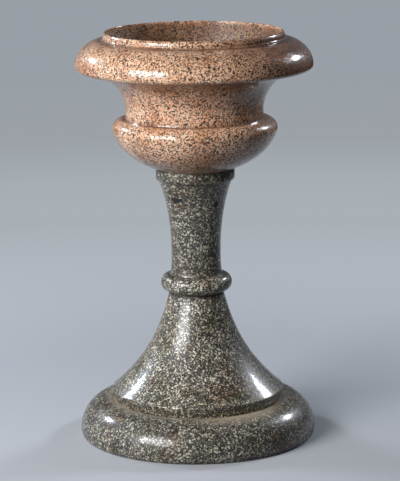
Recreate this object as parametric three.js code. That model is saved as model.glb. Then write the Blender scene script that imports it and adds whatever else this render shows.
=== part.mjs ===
// Granite vase: a pink granite bowl on a dark granite stem, foot and plinth,
// held together by one iron rod. Millimetres, +Z up. The origin is on the axis,
// at the height of the floor that the plinth stands on.
import * as THREE from 'three';

// Joints between the stones
const BED_THICKNESS = 0.8;
const BED_SETBACK = 1.6;
const PIECE_GAP = 0.3;

// Plinth: a wide round moulding
const PLINTH_RADIUS = 174.1;
const PLINTH_SEAT_HEIGHT = 53.6;
const PLINTH_BAND_HEIGHT = 10;
const PLINTH_ARRIS_WIDTH = 5.6;
const PLINTH_ARRIS_HEIGHT = 8;
const PLINTH_ROLL_RISE = 2.4;
const PLINTH_ROLL_FALL = 7.5;
const SEAT_MARGIN = 0.9;

// Foot: a trumpet on a short upright band
const FOOT_HEIGHT = 160.4;
const FOOT_BASE_RADIUS = 123.6;
const FOOT_BAND_FLARE = 3;
const FOOT_ARRIS_HEIGHT = 16.5;
const FOOT_ARRIS_ROUND = [3.2, 4.2];
const FOOT_NECK_RADIUS = 41;
const FOOT_NECK_HEIGHT = 5;
const FOOT_NECK_FLARE = 0.4;
const FOOT_BASE_LEAN = 48;
const FOOT_NECK_LEAN = 15;
const FOOT_FLARE_PULL = 62;

// Stem: a collar, a waisted shaft and a ring
const STEM_HEIGHT = 184;
const COLLAR_RADIUS = 57.8;
const COLLAR_HEIGHT = 12;
const COLLAR_ROUND = [3.75, 5];
const WAIST_RADIUS = 36.2;
const WAIST_HEIGHT = 62;
const RING_RADIUS = 52.6;
const RING_WIDEST_HEIGHT = 13;
const RING_TOP_HEIGHT = 26;
const RING_ROLL_WIDTH = 10.5;
const RING_FOOT_STEP = 0.4;
const RING_UNDER_PULL = [7.2, 3.2];
const RING_SIDE_PULL = 5.9;
const RING_CREASE = [3, 0.8];
const SHAFT_FILLET = [0.6, 4];
const SHAFT_LOWER_PULL = 14;
const SHAFT_WAIST_PULL = 45;
const SHAFT_FLARE_PULL = [8, 16];

// Bowl: lip, rolled rim, hollow neck and belly
const BOWL_HEIGHT = 199.6;
const RIM_SHELF = 41;
const LIP_WIDTH = 4;
const LIP_HEIGHT = 10.4;
const LIP_COVE = 6;
const LIP_ROUND = 0.8;
const LIP_QUIRK = 0.5;
const RIM_RADIUS = 173;
const RIM_ROLL_UNDER_LIP = 3;
const RIM_ROLL_HEIGHT = 38.5;
const RIM_ARRIS_WIDTH = 8.5;
const RIM_ARRIS_HEIGHT = 4.5;
const RIM_FILLET_WIDTH = 4;
const RIM_FILLET_HEIGHT = 3;
const NECK_RADIUS = 100.3;
const NECK_DEPTH = 116;
const BELLY_RADIUS = 121;
const BELLY_WIDEST_HEIGHT = 58;
const BELLY_SHOULDER_RISE = 15.5;
const BELLY_CREASE_STEP = 1.5;
const BELLY_CREASE_WIDTH = 2;
const BOWL_SEAT_MARGIN = 0.8;
const BELLY_FLARE = [35, 13.5];
const BELLY_TUCK = [6, 25];
const BOWL_FLOOR = 14.6;
const NECK_WALL = 15.4;
const HOLLOW_LEAN = 43;
const HOLLOW_MOUTH_PULL = 44;
const HOLLOW_ABOVE_PULL = 40;
const HOLLOW_BELOW_PULL = 34;
const HOLLOW_FLOOR_PULL = 31;

// Iron and lead that hold the stones together
const ROD_RADIUS = 8;
const ROD_CLEARANCE = 4;
const ROD_HEAD_RADIUS = 12;
const ROD_HEAD_HEIGHT = 20;
const SOCKET_DEPTH = 30;
const SOCKET_MOUTH_RADIUS = 15;
const SOCKET_UNDERCUT = 3;
const LEAD_COVER = 2.5;
const LEAD_SIDE_GAP = 0.33;
const RECESS_RADIUS = 28;
const RECESS_DEPTH = 26;
const PLATE_CLEARANCE = 2;
const PLATE_THICKNESS = 6;
const NUT_ACROSS_FLATS = 24;
const NUT_HEIGHT = 13;
const ROD_TAIL = 3;
const IRON_CHAMFER = 1.2;

// Fineness of the turned surfaces
const STONE_SIDES = 48;
const IRON_SIDES = 24;
const CURVE_STEPS = 7;
const ROUND_STEPS = 3;

// Radii and heights that follow from the sizes above
const boreRadius = ROD_RADIUS + ROD_CLEARANCE;
const footArrisRadius = FOOT_BASE_RADIUS + FOOT_BAND_FLARE;
const ringFootRadius = FOOT_NECK_RADIUS - RING_FOOT_STEP;
const bowlSeatRadius = COLLAR_RADIUS + BOWL_SEAT_MARGIN;
const lipOuterRadius = RIM_RADIUS - RIM_SHELF;
const footBottom = PLINTH_SEAT_HEIGHT + BED_THICKNESS;
const stemBottom = footBottom + FOOT_HEIGHT + BED_THICKNESS;
const bowlBottom = stemBottom + STEM_HEIGHT + BED_THICKNESS;

const pinkGranite = { color: 0xaa836b, roughness: 0.2, metalness: 0 };
const darkGranite = { color: 0x69645d, roughness: 0.2, metalness: 0 };
const mortar = { color: 0x8d7a62, roughness: 0.9, metalness: 0 };
const lead = { color: 0x5d5f60, roughness: 0.6, metalness: 0.6 };
const iron = { color: 0x4a4541, roughness: 0.65, metalness: 0.8 };

const vase = new THREE.Group();
vase.name = 'granite_vase';

// Places one closed body at its height on the axis.
function addPiece(name, geometry, finish, height) {
  const mesh = new THREE.Mesh(geometry, new THREE.MeshStandardMaterial(finish));
  mesh.name = name;
  mesh.position.z = height;
  vase.add(mesh);
}

// Turns an outline of (radius, height) points about +Z. The outline runs
// up the outside and down the inside, so that the faces point outwards.
function turn(points, sides) {
  const geometry = new THREE.LatheGeometry(points, sides);
  return geometry.rotateX(Math.PI / 2);
}

// A quarter of an ellipse from start to end, both given as (radius, height).
// It leaves start upright when leavesUpright is true, and level otherwise.
function quarterRound(start, end, leavesUpright, steps) {
  const points = [];
  for (let i = 0; i <= steps; i += 1) {
    const angle = (Math.PI / 2) * (i / steps);
    const along = leavesUpright ? 1 - Math.cos(angle) : Math.sin(angle);
    const up = leavesUpright ? Math.sin(angle) : 1 - Math.cos(angle);
    points.push(new THREE.Vector2(
      start[0] + (end[0] - start[0]) * along,
      start[1] + (end[1] - start[1]) * up,
    ));
  }
  return points;
}

function sweep(start, pullStart, pullEnd, end, steps) {
  const corners = [start, pullStart, pullEnd, end].map(([r, z]) => new THREE.Vector2(r, z));
  return new THREE.CubicBezierCurve(...corners).getPoints(steps);
}

const at = (radius, height) => new THREE.Vector2(radius, height);

// Joins stretches of outline and leaves out points that repeat.
function outline(...stretches) {
  const points = stretches.flat();
  return points.filter((p, i) => i === 0 || p.distanceTo(points[i - 1]) > 0.01);
}

function closed(points) {
  return [...points, points[0].clone()];
}

// Plinth

function plinthOutline() {
  const arrisFoot = PLINTH_RADIUS - PLINTH_ARRIS_WIDTH;
  const seatEdge = FOOT_BASE_RADIUS + SEAT_MARGIN;
  const rollInner = seatEdge + PLINTH_ROLL_FALL;
  const rollTop = PLINTH_SEAT_HEIGHT + PLINTH_ROLL_RISE;
  return closed(outline(
    at(RECESS_RADIUS, 0),
    quarterRound([arrisFoot, 0], [PLINTH_RADIUS, PLINTH_ARRIS_HEIGHT], false, ROUND_STEPS),
    quarterRound([PLINTH_RADIUS, PLINTH_BAND_HEIGHT], [rollInner, rollTop], true, CURVE_STEPS + 1),
    quarterRound([rollInner, rollTop], [seatEdge, PLINTH_SEAT_HEIGHT], false, ROUND_STEPS - 1),
    at(boreRadius, PLINTH_SEAT_HEIGHT),
    at(boreRadius, RECESS_DEPTH),
    at(RECESS_RADIUS, RECESS_DEPTH),
  ));
}

// Foot

// The trumpet leaves the arris leaning well out from upright and reaches the
// neck almost upright. Its pull sets how hollow it is.
function footOutline() {
  const baseLean = THREE.MathUtils.degToRad(FOOT_BASE_LEAN);
  const neckLean = THREE.MathUtils.degToRad(FOOT_NECK_LEAN);
  const flareFoot = [
    footArrisRadius - FOOT_ARRIS_ROUND[0],
    FOOT_ARRIS_HEIGHT + FOOT_ARRIS_ROUND[1],
  ];
  const flareTop = [FOOT_NECK_RADIUS + FOOT_NECK_FLARE, FOOT_HEIGHT - FOOT_NECK_HEIGHT];
  const pullBase = [
    flareFoot[0] - FOOT_FLARE_PULL * Math.sin(baseLean),
    flareFoot[1] + FOOT_FLARE_PULL * Math.cos(baseLean),
  ];
  const pullTop = [
    flareTop[0] + FOOT_FLARE_PULL * Math.sin(neckLean),
    flareTop[1] - FOOT_FLARE_PULL * Math.cos(neckLean),
  ];
  return closed(outline(
    at(boreRadius, 0),
    at(FOOT_BASE_RADIUS, 0),
    quarterRound([footArrisRadius, FOOT_ARRIS_HEIGHT], flareFoot, true, ROUND_STEPS),
    sweep(flareFoot, pullBase, pullTop, flareTop, CURVE_STEPS + 3),
    at(FOOT_NECK_RADIUS, FOOT_HEIGHT),
    at(boreRadius, FOOT_HEIGHT),
  ));
}

// Stem

function stemOutline() {
  const ringWidest = [RING_RADIUS, RING_WIDEST_HEIGHT];
  const ringCrease = [RING_RADIUS - RING_ROLL_WIDTH, RING_TOP_HEIGHT];
  const collarFoot = STEM_HEIGHT - COLLAR_HEIGHT;
  const flareTop = [COLLAR_RADIUS - COLLAR_ROUND[0], collarFoot - COLLAR_ROUND[1]];
  const underRing = sweep(
    [ringFootRadius, 0],
    [ringFootRadius + RING_UNDER_PULL[0], RING_UNDER_PULL[1]],
    [RING_RADIUS, RING_WIDEST_HEIGHT - RING_SIDE_PULL],
    ringWidest,
    CURVE_STEPS - 2,
  );
  const shaftLower = sweep(
    [ringCrease[0] - RING_CREASE[0], ringCrease[1] + RING_CREASE[1]],
    [WAIST_RADIUS + SHAFT_FILLET[0], ringCrease[1] + SHAFT_FILLET[1]],
    [WAIST_RADIUS, ringCrease[1] + SHAFT_LOWER_PULL],
    [WAIST_RADIUS, WAIST_HEIGHT],
    CURVE_STEPS - 1,
  );
  const shaftUpper = sweep(
    [WAIST_RADIUS, WAIST_HEIGHT],
    [WAIST_RADIUS, WAIST_HEIGHT + SHAFT_WAIST_PULL],
    [flareTop[0] - SHAFT_FLARE_PULL[0], flareTop[1] - SHAFT_FLARE_PULL[1]],
    flareTop,
    CURVE_STEPS + 1,
  );
  return closed(outline(
    at(boreRadius, 0),
    underRing,
    quarterRound(ringWidest, ringCrease, true, CURVE_STEPS - 2),
    shaftLower,
    shaftUpper,
    quarterRound(flareTop, [COLLAR_RADIUS, collarFoot], false, ROUND_STEPS - 1).slice(1),
    at(COLLAR_RADIUS, STEM_HEIGHT),
    at(boreRadius, STEM_HEIGHT),
  ));
}

// Bowl

// The hollow goes down upright from the lip, leans in where it passes the
// neck with the wall that is left there, and ends level on the axis.
function bowlHollow() {
  const lean = THREE.MathUtils.degToRad(HOLLOW_LEAN);
  const mouth = [lipOuterRadius - LIP_WIDTH, BOWL_HEIGHT];
  const floorHeight = SOCKET_DEPTH + BOWL_FLOOR;
  const neck = [NECK_RADIUS - NECK_WALL, BOWL_HEIGHT - NECK_DEPTH];
  const beside = (pull) => [neck[0] + pull * Math.sin(lean), neck[1] + pull * Math.cos(lean)];
  const mouthPull = [mouth[0], mouth[1] - HOLLOW_MOUTH_PULL];
  const upper = sweep(mouth, mouthPull, beside(HOLLOW_ABOVE_PULL), neck, CURVE_STEPS - 2);
  const floorPull = [HOLLOW_FLOOR_PULL, floorHeight];
  const lower = sweep(neck, beside(-HOLLOW_BELOW_PULL), floorPull, [0, floorHeight], CURVE_STEPS - 2);
  return [...upper, ...lower];
}

function bowlOutline() {
  const bellyWidest = [BELLY_RADIUS, BELLY_WIDEST_HEIGHT];
  const crease = [NECK_RADIUS + BELLY_CREASE_STEP, BELLY_WIDEST_HEIGHT + BELLY_SHOULDER_RISE];
  const lipFoot = BOWL_HEIGHT - LIP_HEIGHT;
  const lipCoveFoot = [lipOuterRadius + LIP_COVE, lipFoot - LIP_QUIRK];
  const rollBottom = lipFoot - RIM_ROLL_HEIGHT;
  const rollInner = lipOuterRadius - RIM_ROLL_UNDER_LIP;
  const rimEdge = [RIM_RADIUS - RIM_ARRIS_WIDTH, rollBottom - RIM_ARRIS_HEIGHT];
  const coveTop = [rimEdge[0] - RIM_FILLET_WIDTH, rimEdge[1] - RIM_FILLET_HEIGHT];
  const neckWaist = [NECK_RADIUS, BOWL_HEIGHT - NECK_DEPTH];
  const roll = quarterRound([RIM_RADIUS, rollBottom], [rollInner, lipFoot], true, CURVE_STEPS + 3);
  const underBelly = sweep(
    [bowlSeatRadius, 0],
    [bowlSeatRadius + BELLY_FLARE[0], BELLY_FLARE[1]],
    [BELLY_RADIUS - BELLY_TUCK[0], BELLY_WIDEST_HEIGHT - BELLY_TUCK[1]],
    bellyWidest,
    CURVE_STEPS + 1,
  );
  return outline(
    at(0, SOCKET_DEPTH),
    at(SOCKET_MOUTH_RADIUS + SOCKET_UNDERCUT, SOCKET_DEPTH),
    at(SOCKET_MOUTH_RADIUS, 0),
    underBelly,
    quarterRound(bellyWidest, [crease[0] + BELLY_CREASE_WIDTH, crease[1]], true, CURVE_STEPS - 1),
    quarterRound(crease, neckWaist, false, ROUND_STEPS),
    quarterRound(neckWaist, coveTop, true, CURVE_STEPS + 1),
    at(rimEdge[0], coveTop[1]),
    quarterRound(rimEdge, [RIM_RADIUS, rollBottom], false, ROUND_STEPS),
    roll.filter((p) => p.x > lipCoveFoot[0]),
    quarterRound(lipCoveFoot, [lipOuterRadius, lipFoot + LIP_COVE], false, ROUND_STEPS),
    at(lipOuterRadius, BOWL_HEIGHT - LIP_ROUND),
    at(lipOuterRadius - LIP_ROUND, BOWL_HEIGHT),
    bowlHollow(),
  );
}

// Iron and lead

function ring(inner, outer, thickness) {
  return closed([at(inner, 0), at(outer, 0), at(outer, thickness), at(inner, thickness)]);
}

// The rod runs from its tail under the nut to a dovetailed head in the bowl.
const nutBottom = RECESS_DEPTH - PLATE_THICKNESS - NUT_HEIGHT;
const rodBottom = nutBottom - ROD_TAIL;
const headTop = bowlBottom + SOCKET_DEPTH - LEAD_COVER;
const headBottom = headTop - ROD_HEAD_HEIGHT;

function rodOutline() {
  return outline(
    at(0, 0),
    at(ROD_RADIUS - IRON_CHAMFER, 0),
    at(ROD_RADIUS, IRON_CHAMFER),
    at(ROD_RADIUS, headBottom - rodBottom),
    at(ROD_HEAD_RADIUS, headTop - rodBottom),
    at(0, headTop - rodBottom),
  );
}

// Lead fills the dovetailed socket round the rod's head, and covers it.
function leadOutline() {
  const sleeveBottom = PIECE_GAP;
  const wallSlope = SOCKET_UNDERCUT / SOCKET_DEPTH;
  const top = SOCKET_DEPTH - PIECE_GAP;
  const headFoot = headBottom - bowlBottom;
  const headCrown = headTop - bowlBottom + PIECE_GAP;
  const outer = (height) => SOCKET_MOUTH_RADIUS + wallSlope * height - LEAD_SIDE_GAP;
  return [
    at(0, headCrown),
    at(ROD_HEAD_RADIUS + PIECE_GAP, headCrown),
    at(ROD_RADIUS + PIECE_GAP, headFoot),
    at(ROD_RADIUS + PIECE_GAP, sleeveBottom),
    at(outer(sleeveBottom), sleeveBottom),
    at(outer(top), top),
    at(0, top),
  ];
}

function nutGeometry() {
  const cornerRadius = NUT_ACROSS_FLATS / 2 / Math.cos(Math.PI / 6);
  const shape = new THREE.Shape();
  for (let i = 0; i < 6; i += 1) {
    const angle = (Math.PI / 3) * i;
    const corner = [cornerRadius * Math.cos(angle), cornerRadius * Math.sin(angle)];
    if (i === 0) shape.moveTo(...corner);
    else shape.lineTo(...corner);
  }
  shape.closePath();
  const hole = new THREE.Path();
  hole.absarc(0, 0, ROD_RADIUS + PIECE_GAP, 0, 2 * Math.PI, true);
  shape.holes.push(hole);
  return new THREE.ExtrudeGeometry(shape, {
    depth: NUT_HEIGHT,
    bevelEnabled: false,
    curveSegments: IRON_SIDES / 2,
  });
}

addPiece('plinth', turn(plinthOutline(), STONE_SIDES), darkGranite, 0);
addPiece('foot', turn(footOutline(), STONE_SIDES), darkGranite, footBottom);
addPiece('stem', turn(stemOutline(), STONE_SIDES), darkGranite, stemBottom);
addPiece('bowl', turn(bowlOutline(), STONE_SIDES), pinkGranite, bowlBottom);

const beds = [
  ['foot_bed', FOOT_BASE_RADIUS, PLINTH_SEAT_HEIGHT],
  ['stem_bed', ringFootRadius, stemBottom - BED_THICKNESS],
  ['bowl_bed', COLLAR_RADIUS, bowlBottom - BED_THICKNESS],
];
for (const [name, seatRadius, height] of beds) {
  const bed = ring(boreRadius, seatRadius - BED_SETBACK, BED_THICKNESS);
  addPiece(name, turn(bed, STONE_SIDES), mortar, height);
}

addPiece('tie_rod', turn(rodOutline(), IRON_SIDES), iron, rodBottom);
addPiece('lead_anchor', turn(leadOutline(), IRON_SIDES), lead, bowlBottom);
const plate = ring(ROD_RADIUS + PIECE_GAP, RECESS_RADIUS - PLATE_CLEARANCE, PLATE_THICKNESS);
addPiece('bearing_plate', turn(plate, IRON_SIDES), iron, RECESS_DEPTH - PLATE_THICKNESS);
addPiece('rod_nut', nutGeometry(), iron, nutBottom);

export default vase;
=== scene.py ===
# %% [markdown]
# # A polished granite vase
# The vase is four turned stones on one iron rod: a pink granite bowl, and a
# dark granite stem, foot and plinth. The fixed model gives their sizes and
# what they are joined with. This lesson makes their finish: fine turned
# surfaces, two granites whose grains are real crystals in space, the mortar
# that has squeezed out of the joints, and a plain grey studio.

# %% Load the fixed model
import math

import bpy
import numpy as np
from mathutils import Matrix, Vector


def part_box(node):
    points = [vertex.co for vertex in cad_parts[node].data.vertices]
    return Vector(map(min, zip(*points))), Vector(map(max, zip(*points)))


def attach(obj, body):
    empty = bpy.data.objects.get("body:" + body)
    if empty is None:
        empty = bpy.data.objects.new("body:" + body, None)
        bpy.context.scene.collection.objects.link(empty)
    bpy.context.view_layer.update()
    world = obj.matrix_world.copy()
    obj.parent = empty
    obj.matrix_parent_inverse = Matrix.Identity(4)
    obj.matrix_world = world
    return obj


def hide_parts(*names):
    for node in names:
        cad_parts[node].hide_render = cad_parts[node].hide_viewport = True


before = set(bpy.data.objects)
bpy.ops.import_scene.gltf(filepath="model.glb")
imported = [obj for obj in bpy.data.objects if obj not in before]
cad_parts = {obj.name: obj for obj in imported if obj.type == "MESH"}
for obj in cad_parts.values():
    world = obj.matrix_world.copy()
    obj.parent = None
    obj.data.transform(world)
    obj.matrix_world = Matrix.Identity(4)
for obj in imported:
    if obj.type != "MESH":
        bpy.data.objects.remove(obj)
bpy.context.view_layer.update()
print("nodes:", sorted(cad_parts))

# %% [markdown]
# ## One camera, taken from the rings of the vase
# A vase that was turned on a lathe is a stack of circles, and each circle
# shows as an ellipse. How open the ellipses are, from the lip down to the
# floor, tells how far away the camera stood and how high. That could be
# guessed and corrected by eye, but the ellipses give it as numbers.

# %% Camera
MM = 0.001
PHOTO_WIDTH, PHOTO_HEIGHT = 400, 481
SENSOR_MM = 36
FOCAL_PIXELS = 2287
CAMERA_DISTANCE = 3293 * MM
CAMERA_HEIGHT = 986 * MM
CAMERA_ASIDE = 5.9 * MM
CAMERA_PITCH = math.radians(11.925)
CAMERA_ROLL = math.radians(0.645)

camera_data = bpy.data.cameras.new("camera")
camera_data.sensor_width = SENSOR_MM
camera_data.lens = FOCAL_PIXELS * SENSOR_MM / max(PHOTO_WIDTH, PHOTO_HEIGHT)
camera = bpy.data.objects.new("camera", camera_data)
bpy.context.scene.collection.objects.link(camera)
camera.matrix_world = (
    Matrix.Translation((CAMERA_ASIDE, -CAMERA_DISTANCE, CAMERA_HEIGHT))
    @ Matrix.Rotation(math.pi / 2 - CAMERA_PITCH, 4, "X")
    @ Matrix.Rotation(-CAMERA_ROLL, 4, "Z")
)
bpy.context.scene.camera = camera
print("lens", round(camera_data.lens, 1), "mm")

# %% [markdown]
# ## Outlines that are turned about the axis
# A stone cutter works to a drawing of half the section. Here the drawing is a
# list of (radius, height) points in millimetres, made of quarter ellipses and
# of soft sweeps, which are cubic curves. An outline could be spun with a
# modifier, but a grid of points worked out at once is exact and closes itself.

# %% Stretches of outline
ROUND_POINTS = 14
SWEEP_POINTS = 30
LEAST_STEP = 0.01


def quarter(start, end, upright, points=ROUND_POINTS):
    """A quarter ellipse that leaves its start upright or level: one coordinate goes as
    1 - cos and the other as sin of an angle from 0 to 90 degrees."""
    angle = np.linspace(0, math.pi / 2, points)
    slow, fast = 1 - np.cos(angle), np.sin(angle)
    shares = np.stack([slow, fast] if upright else [fast, slow], 1)
    return np.asarray(start) + (np.asarray(end) - start) * shares


def sweep(start, pull_start, pull_end, end, points=SWEEP_POINTS):
    """A cubic curve: its four corners weighted by (1-t)^3, 3t(1-t)^2, 3t^2(1-t) and t^3."""
    t = np.linspace(0, 1, points)[:, None]
    weights = [(1 - t) ** 3, 3 * t * (1 - t) ** 2, 3 * t ** 2 * (1 - t), t ** 3]
    corners = (start, pull_start, pull_end, end)
    return sum(w * np.asarray(corner, float) for w, corner in zip(weights, corners))


def outline(*stretches):
    """One outline from its stretches, without the points that repeat."""
    points = np.concatenate([np.atleast_2d(np.asarray(s, float)) for s in stretches])
    step = np.linalg.norm(np.diff(points, axis=0), axis=1)
    return points[np.concatenate([[True], step > LEAST_STEP])]


print("a round has", ROUND_POINTS, "points and a sweep has", SWEEP_POINTS)

# %% Turned surfaces
TURN_STEPS = 288
SHARP_ANGLE = math.radians(32)


def turned_grid(points):
    """Each point (r, h) becomes a circle of (r cos a, r sin a, h), and a point on the
    axis becomes one pole. Faces join each circle to the next one, round to its own
    start, and an outline off the axis closes on itself."""
    has_poles = points[0, 0] == 0
    rings = points[1:-1] if has_poles else points
    count, steps = len(rings), TURN_STEPS
    angle = np.linspace(0, 2 * math.pi, steps, endpoint=False)
    circle = np.stack([np.cos(angle), np.sin(angle)], 1)
    flat = (rings[:, None, :1] * circle[None]).reshape(-1, 2)
    vertices = np.concatenate([flat, np.repeat(rings[:, 1], steps)[:, None]], 1)
    lower = np.arange(count - 1 if has_poles else count)[:, None] * steps
    upper = (lower + steps) % (count * steps)
    here = np.arange(steps)[None]
    after = (here + 1) % steps
    quads = np.stack([lower + here, lower + after, upper + after, upper + here], -1)
    faces = quads.reshape(-1, 4).tolist()
    if has_poles:
        first, last, top = count * steps, count * steps + 1, (count - 1) * steps
        poles = np.array([[0, 0, points[0, 1]], [0, 0, points[-1, 1]]])
        vertices = np.concatenate([vertices, poles])
        faces += np.stack([after[0], here[0], np.full(steps, first)], 1).tolist()
        faces += np.stack([top + here[0], top + after[0], np.full(steps, last)], 1).tolist()
    return vertices, faces


def turned(name, points, bottom=0.0):
    """The outline turned about the axis, as a smooth piece that is raised by bottom."""
    vertices, faces = turned_grid(points)
    vertices[:, 2] += bottom
    mesh = bpy.data.meshes.new(name)
    mesh.from_pydata((vertices * MM).tolist(), [], faces)
    mesh.polygons.foreach_set("use_smooth", np.ones(len(mesh.polygons), bool))
    mesh.set_sharp_from_angle(angle=SHARP_ANGLE)
    mesh.update()
    piece = bpy.data.objects.new(name, mesh)
    bpy.context.scene.collection.objects.link(piece)
    print(name, len(mesh.vertices), "points")
    return piece


print("each circle has", TURN_STEPS, "points")

# %% [markdown]
# ## The four stones
# Their sizes are those of the fixed model, in millimetres, and each outline
# starts from the bed of its own stone. Every arris gets the small round that
# polishing leaves on granite, because a sharp edge would catch no light.

# %% Where each stone stands
STONES = ("plinth", "foot", "stem", "bowl")
BORE = 12
heights = {name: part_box(name)[0].z / MM for name in STONES}
tops = {name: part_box(name)[1].z / MM for name in STONES}
radii = {name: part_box(name)[1].x / MM for name in STONES}
print("bottoms", {name: round(h, 1) for name, h in heights.items()})

# %% [markdown]
# ## Plinth
# The plinth is a wide moulding like a cushion, with a seat for the foot cut
# into its top. It could be carved from a disc with bevels, but quarter
# ellipses that meet level or upright give the smooth run of light of a
# turned moulding.

# %% Plinth
PLINTH_ARRIS = (5.6, 8)
CUSHION_FROM, CUSHION_WIDTH = 10, 42.1
SEAT = (124.5, 53.6)
RECESS = (28, 26)
plinth_radius = radii["plinth"]
cushion_top = (plinth_radius - CUSHION_WIDTH, tops["plinth"])
plinth_points = outline(
    (RECESS[0], 0),
    quarter((plinth_radius - PLINTH_ARRIS[0], 0), (plinth_radius, PLINTH_ARRIS[1]), False),
    quarter((plinth_radius, CUSHION_FROM), cushion_top, True, SWEEP_POINTS),
    quarter(cushion_top, SEAT, False),
    (BORE, SEAT[1]),
    (BORE, RECESS[1]),
    RECESS,
)
plinth = turned("plinth_stone", plinth_points)

# %% [markdown]
# ## Foot
# The foot is a trumpet that flares down to a short upright band. On a lathe
# that is one long sweep of the tool. Points traced from a picture would leave
# bumps that a polished stone shows at once, so the flare is one cubic curve
# with a lean at each end. Its arris is tight and keeps a thin line of light. It
# is 2 mm lower than in the fixed model, which is where the photograph has it.

# %% Foot
FOOT_BASE, BASE_ARRIS = 123.6, 0.8
FOOT_ARRIS = (radii["foot"], 14.5)
ARRIS_ROUND = (1.6, 2.1)
FLARE_TOP, FLARE_POINTS = (41.4, 5), 48
FOOT_TOP, TOP_ARRIS = 41, 0.6
PULL = 62
BASE_LEAN, NECK_LEAN = math.radians(48), math.radians(15)
foot_height = tops["foot"] - heights["foot"]
flare_foot = np.array([FOOT_ARRIS[0] - ARRIS_ROUND[0], FOOT_ARRIS[1] + ARRIS_ROUND[1]])
flare_top = np.array([FLARE_TOP[0], foot_height - FLARE_TOP[1]])
flare_pulls = (
    flare_foot + PULL * np.array([-math.sin(BASE_LEAN), math.cos(BASE_LEAN)]),
    flare_top + PULL * np.array([math.sin(NECK_LEAN), -math.cos(NECK_LEAN)]),
)
foot_points = outline(
    (BORE, 0),
    quarter((FOOT_BASE - BASE_ARRIS, 0), (FOOT_BASE, BASE_ARRIS), False, 4),
    quarter(FOOT_ARRIS, flare_foot, True),
    sweep(flare_foot, *flare_pulls, flare_top, FLARE_POINTS),
    quarter((FOOT_TOP, foot_height - TOP_ARRIS), (FOOT_TOP - TOP_ARRIS, foot_height), True, 4),
    (BORE, foot_height),
)
foot = turned("foot_stone", foot_points, heights["foot"])

# %% [markdown]
# ## Stem
# The stem is a waisted shaft with a ring at its foot and a collar at its head,
# all in one stone. The ring could be a torus pushed over the shaft, but then
# a seam would run round it. One outline lets the ring grow out of the shaft.

# %% Stem
RING, RING_CREASE = (52.6, 13), (42.1, 26)
WAIST = (36.2, 62)
COLLAR, COLLAR_HEIGHT = radii["stem"], 12
stem_height = tops["stem"] - heights["stem"]
collar_foot = stem_height - COLLAR_HEIGHT
shaft_top = np.array([COLLAR - 3.75, collar_foot - 5])
stem_points = outline(
    (BORE, 0),
    sweep((40.6, 0), (47.8, 3.25), (52.6, 7.15), RING),
    quarter(RING, RING_CREASE, True),
    sweep((39.1, 26.8), (36.8, 30), (36.2, 40), WAIST),
    sweep(WAIST, (36.2, 107), shaft_top - np.array([8, 16]), shaft_top, 40),
    quarter(shaft_top, (COLLAR, collar_foot), False)[1:],
    quarter((COLLAR, stem_height - 1), (COLLAR - 1, stem_height), True, 5),
    (BORE, stem_height),
)
stem = turned("stem_stone", stem_points, heights["stem"])

# %% [markdown]
# ## Bowl
# The bowl has a thin lip on a heavy rolled rim, a hollow neck and a full
# belly. It could be a solid with a bowl cut out of it, but one outline that
# goes up the outside, over the lip and down the inside needs no cutting. The
# inside runs beside the outside, so the wall is as even as a turner leaves it.

# %% Sizes of the bowl
bowl_height = tops["bowl"] - heights["bowl"]
SOCKET_MOUTH, SOCKET_TOP, SOCKET = 15, 18, 30
BELLY = (121, 58)
CREASE = (101.8, 73.5)
NECK = (100.3, bowl_height - 116)
LIP, LIP_WALL = 132, 4
LIP_FOOT = bowl_height - 10.4
RIM = radii["bowl"]
RIM_LOW = LIP_FOOT - 38.5
COVE_TOP = (RIM - 12.5, RIM_LOW - 7.5)
print("bowl", round(bowl_height, 1), "mm high and", round(2 * RIM, 1), "mm across")

# %% Inside of the bowl
HOLLOW_LEAN = math.radians(43)
HOLLOW_FLOOR = SOCKET + 14.6
MOUTH = (LIP - LIP_WALL, bowl_height - 0.8)
beside_neck = np.array([NECK[0] - 15.4, NECK[1]])
along_wall = np.array([math.sin(HOLLOW_LEAN), math.cos(HOLLOW_LEAN)])
hollow = outline(
    sweep(MOUTH, (MOUTH[0], bowl_height - 44), beside_neck + 40 * along_wall, beside_neck),
    sweep(beside_neck, beside_neck - 34 * along_wall, (31, HOLLOW_FLOOR), (0, HOLLOW_FLOOR)),
)
print("hollow", round(bowl_height - HOLLOW_FLOOR, 1), "mm deep")

# %% Outside of the bowl
rim_roll = quarter((RIM, RIM_LOW), (RIM - 44, LIP_FOOT), True, 48)
lip_side = (LIP, LIP_FOOT + 3)
bowl_points = outline(
    (0, SOCKET),
    (SOCKET_TOP, SOCKET),
    (SOCKET_MOUTH, 0),
    sweep((58.6, 0), (93.6, 13.5), (115, 33), BELLY, 40),
    quarter(BELLY, (CREASE[0] + 2, CREASE[1]), True, 20),
    quarter(CREASE, NECK, False),
    quarter(NECK, COVE_TOP, True, 40),
    sweep(COVE_TOP, (RIM - 6, COVE_TOP[1] - 0.2), (RIM, RIM_LOW - 4.5), (RIM, RIM_LOW), 16),
    rim_roll[rim_roll[:, 0] > LIP + 6],
    quarter((LIP + 6, LIP_FOOT - 0.5), lip_side, False),
    sweep(
        lip_side, (LIP, LIP_FOOT + 6), (LIP - 1.4, bowl_height - 0.4), (LIP - 3, bowl_height), 12
    ),
    quarter((LIP - 3.2, bowl_height), MOUTH, False, 5),
    hollow,
)
bowl = turned("bowl_stone", bowl_points, heights["bowl"])

# %% [markdown]
# ## The rubbed inside of the bowl
# A bowl holds earth and water, so its inside has lost its polish. Another
# material could be put on those faces, but the wear starts softly under the
# lip. So each point of the mesh carries a number, which is 0 on the polished
# outside and 1 in the hollow, and the finish of the stone reads it.

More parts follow.
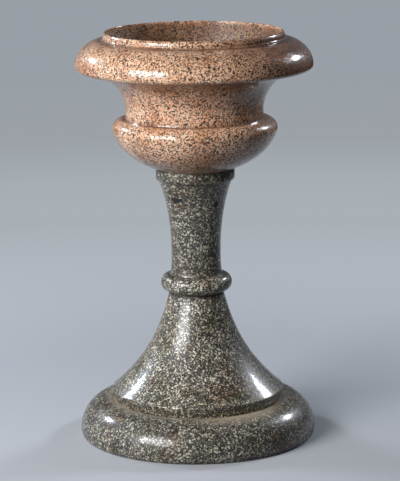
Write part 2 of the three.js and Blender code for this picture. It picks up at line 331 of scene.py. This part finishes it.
# %% The rubbed inside of the bowl
# The hollow's circles come last in the outline, and its pole is the last point of all.
RUBBED_FROM, RUBBED_TO = 1, 6
depth = bowl_height - bowl_points[:, 1]
share = np.clip((depth - RUBBED_FROM) / (RUBBED_TO - RUBBED_FROM), 0, 1)
share[: len(bowl_points) - len(hollow)] = 0
on_rings = np.repeat(share[1:-1], TURN_STEPS)
rubbed = bowl.data.attributes.new("hollow", "FLOAT", "POINT")
rubbed.data.foreach_set("value", np.concatenate([on_rings, [0, 1]]))
print("rubbed points", int((on_rings > 0).sum()))

# %% [markdown]
# ## Mortar that has squeezed out of the joints
# Each stone lies in a thin bed of lime mortar. At the crease on the plinth it
# shows as a tan line, which tan dirt and a painted highlight on the plinth
# widen, and under the ring and the bowl as a fine dark one, which painted shade
# on the stone deepens under the ring. The bed could be left as the fixed disc,
# but its edge would be a hollow slot, so it is remade with a rounded edge that
# fills the crease.

# %% Beds
BEDS = {
    "foot_bed": (124.8, 0.9),
    "stem_bed": (39.9, 0.8),
    "bowl_bed": (57.0, 0.8),
}
BED_GAP = 0.02
EDGE_WIDTH, EDGE_POINTS = 3, 12


def bed(node):
    """A flat ring whose rim is half an ellipse: its radius goes as cos and its height
    as sin of an angle from -90 to 90 degrees."""
    low, high = (corner.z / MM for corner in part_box(node))
    edge, thickness = BEDS[node]
    under, over = BED_GAP, high - low - BED_GAP
    angle = np.linspace(-math.pi / 2, math.pi / 2, EDGE_POINTS)
    half_height = thickness / 2 * np.sin(angle)
    rim = np.stack([edge - 1 + np.cos(angle), (high - low) / 2 + half_height], 1)
    inner = [(BORE, under), (edge - EDGE_WIDTH, under)]
    back = [(edge - EDGE_WIDTH, over), (BORE, over)]
    return turned(node + "_mortar", outline(inner, rim, back), low)


beds = {node: bed(node) for node in BEDS}

# %% [markdown]
# ## Colours and nodes
# Colours are written as on a screen, in hex, and turned to the linear values
# that light needs. A material could be wired by hand, node by node, but each
# of these has dozens. So one helper adds a node of any kind with its settings
# and links, and one starts a material.

# %% Colour and node helpers
def linear(hex_colour):
    """sRGB to linear: a share up to 0.04045 is divided by 12.92, and others are
    ((c + 0.055) / 1.055) ^ 2.4."""
    shares = [int(hex_colour[i:i + 2], 16) / 255 for i in (1, 3, 5)]
    return [c / 12.92 if c <= 0.04045 else ((c + 0.055) / 1.055) ** 2.4 for c in shares] + [1.0]


def fill(node, inputs):
    """Gives each input its value, or a link where the value is a socket. The inputs are
    named or numbered in a dict, or listed in the node's own order."""
    for name, value in inputs.items() if isinstance(inputs, dict) else enumerate(inputs):
        if isinstance(value, bpy.types.NodeSocket):
            node.id_data.links.new(value, node.inputs[name])
        else:
            node.inputs[name].default_value = value


def add(tree, kind, inputs=(), output=0, stops=(), **settings):
    """Adds a node with its settings, its inputs and the (place, colour) stops of a ramp.
    Gives back one of its outputs, or with output None the node itself."""
    node = tree.nodes.new("ShaderNode" + kind)
    for name, value in settings.items():
        setattr(node, name, value)
    for i, (position, hex_colour) in enumerate(stops):
        elements = node.color_ramp.elements
        element = elements[i] if i < 2 else elements.new(position)
        element.position = position
        element.color = linear(hex_colour)
    fill(node, inputs)
    return node if output is None else node.outputs[output]


def new_material(name, ior=1.5):
    """An empty material with its shader and output, and the place of the surface in metres."""
    material = bpy.data.materials.new(name)
    material.use_nodes = True
    tree = material.node_tree
    tree.nodes.clear()
    shader = add(tree, "BsdfPrincipled", {"IOR": ior}, None)
    add(tree, "OutputMaterial", {"Surface": shader.outputs["BSDF"]}, None)
    return material, tree, shader, add(tree, "TexCoord", output="Object")


print("mid grey in linear light is", round(linear("#808080")[0], 3))

# %% [markdown]
# ## Polished granite
# Granite is a solid mass of crystals that grew into each other: feldspar,
# quartz and mica. Sawing and polishing cut through them, so the pattern is
# the same stone all the way through. A picture wrapped round the vase would
# stretch and show a seam. Cells in space give each crystal one colour, and
# the cut surface shows whichever cells it passes through.
# The cells stand 1.4 mm apart in the mass of the stone and 2.3 mm apart for
# its larger crystals, and neighbours of one mineral join into the grains of
# 2 to 4 mm that show. Finer crystals are smaller than a pixel and would blur
# into one colour, so the smallest are drawn this coarse.

# %% Granite
GRANITE_IOR = 1.54
GRAIN_MM, CRYSTAL_MM = 1.4, 2.3
CRYSTAL_SHARE = 0.14
WANDER = 2.34 * MM


def grains(tree, place, size_mm, seed):
    """Three random numbers for the crystal at each place. A crystal is all that lies
    nearest to one of many points that stand size_mm apart, moved by seed."""
    moved = add(tree, "VectorMath", (place, (seed, 2.7 * seed, 1.3 * seed)))
    cell = add(tree, "TexVoronoi", {"Vector": moved, "Scale": 1 / (size_mm * MM)}, "Color")
    return add(tree, "SeparateColor", (cell,), None).outputs


def minerals(tree, number, shares):
    """One flat colour for each mineral, in a step as wide as its share of the crystals."""
    starts = np.cumsum([0.0] + [share for share, _ in shares[:-1]]).tolist()
    stops = [(start, hex_colour) for start, (_, hex_colour) in zip(starts, shares)]
    steps = add(tree, "ValToRGB", (number,), None, stops)
    steps.color_ramp.interpolation = "CONSTANT"
    return steps.outputs["Color"]


def granite(name, matrix, crystals):
    """Small grains of the matrix minerals, with larger crystals in a share of the stone.
    The second place that it gives back wanders by noise, so whatever is drawn with it
    has the uneven edge of a crystal."""
    material, tree, shader, place = new_material(name, GRANITE_IOR)
    fine = {"Vector": place, "Scale": 1 / (GRAIN_MM * MM), "Detail": 2.0}
    noise = add(tree, "TexNoise", fine, "Color")
    centred = add(tree, "VectorMath", (noise, (0.5, 0.5, 0.5)), operation="SUBTRACT")
    strayed = add(tree, "VectorMath", {0: centred, "Scale": WANDER}, operation="SCALE")
    wandering = add(tree, "VectorMath", (place, strayed))
    small = grains(tree, wandering, GRAIN_MM, 0.31)
    large = grains(tree, wandering, CRYSTAL_MM, 0.83)
    is_crystal = add(tree, "Math", (large["Red"], 1 - CRYSTAL_SHARE), operation="GREATER_THAN")
    ground = minerals(tree, small["Red"], matrix)
    shown = minerals(tree, large["Green"], crystals)
    colour = add(tree, "Mix", {0: is_crystal, 6: ground, 7: shown}, 2, data_type="RGBA")
    return material, tree, shader, place, wandering, small, colour


print("grains of", GRAIN_MM, "and", CRYSTAL_MM, "mm")

# %% [markdown]
# ## Zones, creases and painted light
# Whole zones of a stone are a little darker or redder, some creases are
# darker, and the one on the plinth holds tan dirt. Both could be painted by
# hand, but then they would belong to one view. Here each is a mask in space,
# made from noise or from the distance to a circle or a point, and colours are
# laid over the stone where the masks are. Some masks lay painted shade, painted
# light and painted highlights.

# %% Masks and layers of colour
def lay(tree, colour, layers):
    """The colour with layers over it, one after another. A layer is a hex colour, a way
    of blending, and an amount that is a number or a mask."""
    for hex_colour, blend, amount in layers:
        pair = {0: amount, 6: colour, 7: linear(hex_colour)}
        colour = add(tree, "Mix", pair, 2, data_type="RGBA", blend_type=blend)
    return colour


def zones(tree, place, size_mm, low, high, seed=0.0):
    """Soft zones of the given size: 0 in most of the stone and 1 in the middle of each."""
    moved = add(tree, "VectorMath", (place, (seed, seed, -seed)))
    noise = add(tree, "TexNoise", {"Vector": moved, "Scale": 1 / (size_mm * MM), "Detail": 3.0})
    return add(tree, "MapRange", (noise, low, high, 0.0, 1.0))


def near_point(tree, place, point, full, reach):
    """1 up to full from the point, down to 0 at reach from it. All are in millimetres."""
    metres = tuple(c * MM for c in point)
    away = add(tree, "VectorMath", (place, metres), "Value", operation="DISTANCE")
    return add(tree, "MapRange", (away, full * MM, reach * MM, 1.0, 0.0))


def from_axis(tree, place):
    """The distance from the axis, which is the root of x^2 + y^2."""
    flat = add(tree, "VectorMath", (place, (1, 1, 0)), operation="MULTIPLY")
    return add(tree, "VectorMath", (flat,), "Value", operation="LENGTH")


def near_crease(tree, place, radius, height, reach):
    """1 on the circle of this radius and height, down to 0 at reach from it. The place
    is first turned round the axis, so that the circle becomes one point."""
    level = add(tree, "SeparateXYZ", (place,), "Z")
    turned_place = add(tree, "CombineXYZ", {"X": from_axis(tree, place), "Z": level})
    return near_point(tree, turned_place, (radius, 0, height), 0, reach)


print("masks: zones, near a point and near a crease")

# %% [markdown]
# ## Polish and wear
# No two crystals of one mineral are quite alike. The polish is high on the
# feldspar and lower on the dark mica, which also lies a little below the rest.
# One roughness for all would look like plastic, so it follows the brightness
# of the mineral. A thin coat of wax lies over them until it is worn off.

# %% Polish and wear
MICA_LIGHT, PIT_LIGHT, FELDSPAR_LIGHT = 0.02, 0.12, 0.2
MICA_DEPTH = 0.02 * MM
WAVE_LENGTH, WAVE_DEPTH = 22 * MM, 0.05 * MM
HUES, SATURATIONS, VALUES = (0.494, 0.506), (0.86, 1.12), (0.82, 1.1)
WAX, WAX_ROUGHNESS = 0.14, 0.09


def polish(tree, shader, place, small, colour, dull, bright):
    """Varies each crystal, takes roughness in a straight line from dull mica to bright
    feldspar, lets mica lie a little low, and lays wax over all of them."""
    light = add(tree, "RGBToBW", (colour,))
    wave = add(tree, "TexNoise", {"Vector": place, "Scale": 1 / WAVE_LENGTH, "Detail": 1.0})
    low = add(tree, "Bump", {"Height": wave, "Distance": WAVE_DEPTH})
    level = add(tree, "MapRange", (light, MICA_LIGHT, PIT_LIGHT, 0.0, 1.0))
    fill(shader, {
        "Roughness": add(tree, "MapRange", (light, MICA_LIGHT, FELDSPAR_LIGHT, dull, bright)),
        "Normal": add(tree, "Bump", {"Height": level, "Distance": MICA_DEPTH, "Normal": low}),
        "Coat Normal": low,
        "Coat Weight": WAX,
        "Coat Roughness": WAX_ROUGHNESS,
    })
    return add(tree, "HueSaturation", {
        "Color": colour,
        "Hue": add(tree, "MapRange", (small["Blue"], 0, 1, *HUES)),
        "Saturation": add(tree, "MapRange", (small["Blue"], 0, 1, *SATURATIONS)),
        "Value": add(tree, "MapRange", (small["Green"], 0, 1, *VALUES)),
    })


def worn(tree, shader, amount, roughness):
    """Where the amount is 1 there is no wax, and the stone is at least this rough."""
    polished = shader.inputs["Roughness"].links[0].from_socket
    least = add(tree, "Math", (amount, roughness), operation="MULTIPLY")
    fill(shader, {
        "Roughness": add(tree, "Math", (polished, least), operation="MAXIMUM"),
        "Coat Weight": add(tree, "MapRange", (amount, 0, 1, WAX, 0.0)),
    })


print("wax weight", WAX)

# %% [markdown]
# ## Pink granite
# The bowl is pink feldspar and cream quartz, with more than a quarter of black
# mica. One pink with noise on it would look like sandstone, so each mineral
# has its own colour, and their shares were set so that the mean colour and the
# contrast both fit. A darker patch at the right of the rim is painted shade,
# where the rim is turned from the light. The creases at the neck and under the
# lip are darker.

# %% Pink granite
# Turned and polished: the eye gets crisp reflections, which the dull mica breaks into sparkle.
PINK_MATRIX = [
    (0.22, "#f3b891"),
    (0.25, "#fdcfa8"),
    (0.14, "#ffe3c8"),
    (0.06, "#9a6348"),
    (0.06, "#5e3626"),
    (0.27, "#1f0c06"),
]
PINK_CRYSTALS = [(0.34, "#f2b990"), (0.08, "#a8694a"), (0.24, "#fee2c6"), (0.34, "#1d0b05")]
SHADE_RIGHT_OF_RIM = (140, -80, 565)
# Radius, height and reach of the darkening in each crease.
NECK_CREASE, LIP_CREASE = (103, 474, 7), (137, 590, 8)
pink, tree, shader, place, _, small, colour = granite(
    "polished_pink_granite", PINK_MATRIX, PINK_CRYSTALS
)
colour = polish(tree, shader, place, small, colour, dull=0.36, bright=0.11)
colour = lay(tree, colour, [
    ("#dec8b6", "MULTIPLY", zones(tree, place, 45, 0.45, 0.7)),
    # Painted shade: the right of the rim, which is turned from the light, is darker.
    ("#c4ada0", "MULTIPLY", near_point(tree, place, SHADE_RIGHT_OF_RIM, 40, 120)),
    ("#a38a78", "MULTIPLY", near_crease(tree, place, *NECK_CREASE)),
    ("#a39488", "MULTIPLY", near_crease(tree, place, *LIP_CREASE)),
])
print(pink.name, "has", len(PINK_MATRIX), "minerals in its mass")

# %% [markdown]
# ## The worn hollow
# The hollow has lost its wax and its polish and is darker. Less of that
# darkening lies on the left, as painted light. It could be made darker all
# over, but dust on a rubbed stone also lifts its blacks, so a little grey is
# laid on too.

# %% Worn hollow
PAINTED_LIGHT_FROM, PAINTED_LIGHT_TO = -115 * MM, -40 * MM
LEAST_DARKENING = 0.35
DUST = 0.04
inside = add(tree, "Attribute", output="Fac", attribute_name="hollow")
across = add(tree, "SeparateXYZ", (place,), "X")
# Painted light: the hollow is darkened less towards the left.
darkening_and_painted_light = add(tree, "MapRange", (across, PAINTED_LIGHT_FROM, PAINTED_LIGHT_TO, LEAST_DARKENING, 1.0))
colour = lay(tree, colour, [
    ("#a39585", "MULTIPLY", add(tree, "Math", (inside, darkening_and_painted_light), operation="MULTIPLY")),
    ("#a8a39b", "MIX", add(tree, "Math", (inside, DUST), operation="MULTIPLY")),
])
worn(tree, shader, inside, roughness=0.5)
fill(shader, {"Base Color": colour})
print(pink.name, len(tree.nodes), "nodes")

# %% [markdown]
# ## Dark granite
# The stem, foot and plinth are one kind of stone: white and cream feldspar in
# a black and green-grey mass, with rust where iron has weathered out. It could
# have a recipe of its own, but both granites have one grain, so the recipe is
# the same with other minerals.

# %% Dark granite
# Turned and polished: the eye gets a deep black ground, with pale grains that seem to float in it.
DARK_MATRIX = [
    (0.30, "#141514"),
    (0.23, "#3f3e39"),
    (0.21, "#6c685c"),
    (0.13, "#a29c8c"),
    (0.13, "#ded5c2"),
]
DARK_CRYSTALS = [(0.68, "#efe7d4"), (0.12, "#aaa08c"), (0.20, "#111313")]
dark, tree, shader, place, wandering, small, colour = granite(
    "polished_dark_granite", DARK_MATRIX, DARK_CRYSTALS
)
colour = polish(tree, shader, place, small, colour, dull=0.4, bright=0.14)
colour = lay(tree, colour, [
    ("#cfb39a", "MULTIPLY", zones(tree, place, 38, 0.52, 0.74, 0.4)),
    ("#cac9b0", "MULTIPLY", zones(tree, place, 42, 0.52, 0.74, 1.7)),
])
print(dark.name, "has", len(DARK_MATRIX), "minerals in its mass")

# %% [markdown]
# ## Two clots of mica
# The shaft has two black clots, of the same mica that is spread through the
# stone. They could be pieces of their own, but they are part of the stone, so
# they are drawn in it, as balls that overlap and whose edges wander as the
# crystals do. Mica splits into flakes and takes no wax, so it looks black.

# %% Clots
CLOTS = [
    ((-33.4, -31.6, 359.3), 3.4),
    ((-30.2, -34.7, 357.4), 5.6),
    ((-26.0, -38.0, 358.0), 4.6),
    ((-21.8, -40.4, 358.8), 3.2),
    ((30.9, -33.4, 350.4), 5.4),
]
SOLID_SHARE = 0.8
clot = 0.0
for middle, radius in CLOTS:
    ball = near_point(tree, wandering, middle, SOLID_SHARE * radius, radius)
    clot = add(tree, "Math", (ball, clot), operation="MAXIMUM")
colour = lay(tree, colour, [("#05080a", "MIX", clot)])
worn(tree, shader, clot, roughness=0.75)
print(len(CLOTS), "balls in two clots")

# %% [markdown]
# ## Shades of the three stones
# The stem and the plinth are a little darker than the foot. The upright band
# under the arris of the foot is darker again, which is painted shade. Each
# could have a material of its own. Heights tell them apart as well, so one
# material does for all.

# %% Shades
STEM_FROM = (238 * MM, 242 * MM)
PLINTH_TO = (54 * MM, 58 * MM)
BAND_FROM, BAND_TO = (56.5 * MM, 58 * MM), (68.4 * MM, 69.4 * MM)
height = add(tree, "SeparateXYZ", (place,), "Z")
on_stem = add(tree, "MapRange", (height, *STEM_FROM, 0.0, 1.0))
in_plinth = add(tree, "MapRange", (height, *PLINTH_TO, 1.0, 0.0))
above_plinth = add(tree, "MapRange", (height, *BAND_FROM, 0.0, 1.0))
below_arris = add(tree, "MapRange", (height, *BAND_TO, 1.0, 0.0))
colour = lay(tree, colour, [
    ("#d2d2d0", "MULTIPLY", on_stem),
    ("#dedede", "MULTIPLY", in_plinth),
    # Painted shade: the upright band under the arris of the foot is darker.
    ("#cac5bd", "MULTIPLY", add(tree, "Math", (above_plinth, below_arris), operation="MULTIPLY")),
])
print("three shades and a band")

# %% [markdown]
# ## Dirt, painted highlight and painted shade in the creases
# Dust and mortar lie in patches in the crease on the plinth, and their tan is
# also a painted highlight on the plinth's top, wider at the front right. Below
# the ring of the stem the stone is darkened as painted shade. A ring of either
# could be modelled, but it is thinner than a hair and has no edge, so each
# follows the distance from its crease.

# %% Dirt, painted highlight and painted shade
LEDGE = (56.2 * MM, 57.5 * MM)
PAST_FOOT = (124.3 * MM, 124.8 * MM)
HIGHLIGHT_AT = (62, -110, 56)
# Radius, height and reach of the dirt and painted highlight in the crease, of the wider band at
# the front right, and of the painted shade under the ring.
CREASE_TAN, WIDE_TAN, SHADE_UNDER_RING = (127, 54, 11), (126, 55, 30), (41, 215, 7)
low = add(tree, "MapRange", (height, *LEDGE, 1.0, 0.0))
outside = add(tree, "MapRange", (from_axis(tree, place), *PAST_FOOT, 0.0, 1.0))
on_plinth = add(tree, "Math", (low, outside), operation="MULTIPLY")
crease_tan = near_crease(tree, place, *CREASE_TAN)
patchy_tan = add(tree, "Math", (crease_tan, zones(tree, place, 14, 0.3, 0.6)), operation="MULTIPLY")
near_highlight = near_point(tree, place, HIGHLIGHT_AT, 30, 80)
wide_tan = add(tree, "Math", (near_crease(tree, place, *WIDE_TAN), near_highlight), operation="MULTIPLY")
colour = lay(tree, colour, [
    # Tan dirt in the crease, which is also a painted highlight on the plinth's top.
    ("#c9bba6", "MIX", add(tree, "Math", (patchy_tan, on_plinth), operation="MULTIPLY")),
    ("#c4b49a", "MIX", add(tree, "Math", (wide_tan, on_plinth), operation="MULTIPLY")),
    # Painted shade under the ring of the stem.
    ("#55514a", "MULTIPLY", near_crease(tree, place, *SHADE_UNDER_RING)),
])
fill(shader, {"Base Color": colour})
print(dark.name, len(tree.nodes), "nodes")

# %% [markdown]
# ## Mortar
# Lime mortar dries to a dusty tan with pale sand in it. A plain tan would do
# for so thin a line, but it would look painted on beside the granite, so it
# has its own patches and grit.

# %% Lime mortar
# Pressed out and left to dry: the eye gets a chalky line without any shine. Sand is
# finer than a pixel, so its grains are drawn 1.5 mm wide.
SAND_MM, GRIT_DEPTH = 1.5, 0.3 * MM
mortar, tree, shader, place = new_material("dry_lime_mortar")
sand = add(tree, "TexNoise", {"Vector": place, "Scale": 1 / (SAND_MM * MM), "Detail": 3.0})
colour = lay(tree, linear("#b0a28c"), [
    ("#7c6e5c", "MIX", zones(tree, place, 9, 0.45, 0.7)),
    ("#d3c9b8", "MIX", add(tree, "MapRange", (sand, 0.5, 0.75, 0.0, 0.6))),
])
fill(shader, {
    "Base Color": colour,
    "Roughness": 0.92,
    "Normal": add(tree, "Bump", {"Height": sand, "Distance": GRIT_DEPTH}),
})
print(mortar.name, len(tree.nodes), "nodes")

# %% [markdown]
# ## Iron
# The rod, its plate and its nut are wrought, so they are black from the forge
# with rust coming through. They are hidden, and any grey would do for the
# picture, but the vase may be taken apart or looked at from below. One mask
# of rust sets their colour, shine, metal and relief, so that these agree.

# %% Wrought iron
# Forged: the eye gets a dark, uneven metal that is dull wherever it has rusted.
iron, tree, shader, place = new_material("forged_wrought_iron")
rust = zones(tree, place, 6, 0.48, 0.6)
fill(shader, {
    "Base Color": lay(tree, linear("#2b2826"), [("#6a3d25", "MIX", rust)]),
    "Roughness": add(tree, "MapRange", (rust, 0, 1, 0.48, 0.9)),
    "Metallic": add(tree, "MapRange", (rust, 0, 1, 0.85, 0.0)),
    "Normal": add(tree, "Bump", {"Height": rust, "Distance": 0.15 * MM}),
})
print(iron.name, len(tree.nodes), "nodes")

# %% [markdown]
# ## Lead
# Lead was poured round the head of the rod to fix it in its socket, and it
# has gone grey. It could share the iron's material, but it does not rust: it
# is covered by a pale bloom, which is made the same way.

# %% Cast lead
# Poured: the eye gets a soft grey metal under a paler bloom.
lead, tree, shader, place = new_material("poured_cast_lead")
bloom = zones(tree, place, 8, 0.35, 0.7)
fill(shader, {
    "Base Color": lay(tree, linear("#6c6e70"), [("#8d8e8c", "MIX", bloom)]),
    "Roughness": add(tree, "MapRange", (bloom, 0, 1, 0.42, 0.7)),
    "Metallic": 1.0,
})
print(lead.name, len(tree.nodes), "nodes")

# %% [markdown]
# ## Pieces, their body and their finishes
# Each stone and bed takes the place of a node of the fixed model, and all of
# them ride on its one rigid body. The four metal pieces could be remade as well,
# but they do not show, so their fixed solids only get a finish.

# %% Pieces, their body and their finishes
FINISHES = [
    (plinth, "plinth", dark, "dark_granite"),
    (foot, "foot", dark, "dark_granite"),
    (stem, "stem", dark, "dark_granite"),
    (bowl, "bowl", pink, "pink_granite"),
    *[(beds[node], node, mortar, "lime_mortar") for node in BEDS],
]
for piece, node, material, slot in FINISHES:
    piece.data.materials.append(material)
    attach(piece, "root")
    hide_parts(node)
METALS = {"tie_rod": iron, "bearing_plate": iron, "rod_nut": iron, "lead_anchor": lead}
for node, material in METALS.items():
    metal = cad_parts[node]
    if not metal.data.materials:
        metal.data.materials.append(material)
    metal.material_slots[0].material = material
print(len(FINISHES), "pieces and", len(METALS), "fixed nodes finished")

# %% [markdown]
# ## A grey studio
# The floor is a sheet of grey paper, wide enough for every view. It could
# curve up into a wall, but a camera behind the vase would see only the back of
# that wall. So it is flat, and from half a metre out it fades into the colours
# that the background has in the photograph. That far paper glows: its colours
# are painted light, which grows darker with distance as a lamp's light would.

# %% Floor
FLOOR_RADIUS, FLOOR_STEPS = 14.0, 96
angle = np.linspace(0, 2 * math.pi, FLOOR_STEPS, endpoint=False)
edge = [FLOOR_RADIUS * np.cos(angle), FLOOR_RADIUS * np.sin(angle), np.zeros(FLOOR_STEPS)]
floor_mesh = bpy.data.meshes.new("floor")
floor_mesh.from_pydata(np.stack(edge, 1).tolist(), [], [list(range(FLOOR_STEPS))])
floor = bpy.data.objects.new("floor", floor_mesh)
bpy.context.scene.collection.objects.link(floor)
print("floor", 2 * FLOOR_RADIUS, "m across")

# %% [markdown]
# ## What a ray sees
# Black cloth is hung round a polished thing in a studio, so that it mirrors
# little of the room and gets little light from the floor. Cloth could be
# built here too, but it would show in the other views. So the paper and the
# room are pale to the camera, and darker to the light that they pass on.

# %% What a ray sees
def seen(tree, share):
    """1 for a ray from the camera, share for a reflection or a refraction, and 0 for
    light on its way round."""
    path = add(tree, "LightPath", output=None).outputs
    bounced = (path["Is Glossy Ray"], path["Is Transmission Ray"])
    mirrored = add(tree, "Math", bounced, operation="MAXIMUM")
    shared = add(tree, "Math", (mirrored, share), operation="MULTIPLY")
    return add(tree, "Math", (path["Is Camera Ray"], shared), operation="MAXIMUM")


print("light on its way round sees neither the pale paper nor the pale room")

# %% Paper
# Matt paper: the eye gets soft shadows and no highlight. In reflections it ends on the
# right, where the studio is dark.
PAPER, PAPER_IN_SHADE = "#c0c3c9", "#505154"
PAPER_EDGE = (0.5, 1.2)
FAR_FLOOR = (0.5, 1.7)
ROOM_COLOUR = "#999fa6"
FAR_COLOURS = [
    (0.8, "#c9cfd5"),
    (1.2, "#bac1c7"),
    (1.6, "#aab1b7"),
    (2.1, "#a6adb3"),
    (2.7, "#9ba1a7"),
    (4.0, ROOM_COLOUR),
]
paper, tree, shader, place = new_material("matt_grey_paper", 1.45)
floor_mesh.materials.append(paper)
across = add(tree, "SeparateXYZ", (place,), "X")
is_seen = seen(tree, add(tree, "MapRange", (across, *PAPER_EDGE, 1.0, 0.0)))
colour = lay(tree, linear(PAPER_IN_SHADE), [(PAPER, "MIX", is_seen)])
fill(shader, {"Base Color": colour, "Roughness": 0.85})
print(paper.name, "is", PAPER, "near the vase")

# %% Paper that fades into the background
distance = add(tree, "VectorMath", (place,), "Value", operation="LENGTH")
far = add(tree, "MapRange", (distance, *FAR_FLOOR, 0.0, 1.0))
reach = FAR_COLOURS[-1][0]
stops = [(metres / reach, hex_colour) for metres, hex_colour in FAR_COLOURS]
along = add(tree, "MapRange", (distance, 0.0, reach, 0.0, 1.0))
# Painted light: the far paper glows, darker with distance as lamp light falls off.
glow = add(tree, "Emission", (add(tree, "ValToRGB", (along,), stops=stops),))
share = add(tree, "Math", (far, is_seen), operation="MULTIPLY")
blended = add(tree, "MixShader", (share, shader.outputs["BSDF"], glow))
fill(tree.nodes["Material Output"], {"Surface": blended})
print(len(stops), "colours out to", reach, "m")

# %% [markdown]
# ## Room
# The room round the vase is one soft grey. The stone mirrors only a share of
# it, since most of a studio is dark. Walls could be built and lit, but then
# each lamp would change them, and a plain colour is what the photograph shows.

# %% Room
DARK_WALL = "#2a2b2d"
MIRRORED_ROOM = 0.35
world = bpy.data.worlds.new("room")
bpy.context.scene.world = world
world.use_nodes = True
tree = world.node_tree
tree.nodes.clear()
walls = lay(tree, linear(DARK_WALL), [(ROOM_COLOUR, "MIX", seen(tree, MIRRORED_ROOM))])
room = add(tree, "Background", {"Color": walls})
add(tree, "OutputWorld", {"Surface": room}, None)
print("room", ROOM_COLOUR, "of which", MIRRORED_ROOM, "is mirrored")

# %% [markdown]
# ## Lamps
# The lamps stand where the reflections on the rim, the belly and the trumpet
# place them: a small soft box on each side behind the vase, and a large one
# in front on the left with a weak screen behind it. A pale sheet on the left
# fills the shaded flank. They could be moved until it looks right, but each
# reflection on a turned stone gives one lamp's bearing, height and size.

# %% Lamps
# Name, bearing from the front in degrees, distance, height, size in metres, brightness, colour.
LAMPS = [
    ("front_left", -45, 2.10, 1.20, (1.38, 0.88), 13.9, "#ffffff"),
    ("front_screen", -45, 2.12, 1.20, (3.20, 2.10), 0.30, "#ffffff"),
    ("back_left", -124, 2.18, 1.42, (0.50, 0.29), 41.0, "#e9f3ff"),
    ("back_right", 126, 2.18, 1.42, (0.50, 0.29), 51.0, "#eef5ff"),
    ("left_sheet", -92, 2.40, 1.03, (3.20, 2.00), 0.62, "#dcecff"),
]
AIM = Vector((0, 0, 0.3))
for name, bearing, out, up, (wide, tall), brightness, hex_colour in LAMPS:
    data = bpy.data.lights.new(name, "AREA")
    data.shape = "RECTANGLE"
    data.size, data.size_y = wide, tall
    data.energy = brightness * math.pi * wide * tall
    data.color = linear(hex_colour)[:3]
    lamp = bpy.data.objects.new(name, data)
    turn = math.radians(bearing)
    lamp.location = (out * math.sin(turn), -out * math.cos(turn), up)
    lamp.rotation_euler = (AIM - lamp.location).to_track_quat("-Z", "Y").to_euler()
    lamp.visible_camera = False
    bpy.context.scene.collection.objects.link(lamp)
print(len(LAMPS), "lamps")

# %% [markdown]
# ## Output
# The picture could get a film look, which is softer in the highlights, but it
# would change every colour that was set above, so they are shown as they are.

# %% Output
bpy.context.scene.view_settings.view_transform = "Standard"
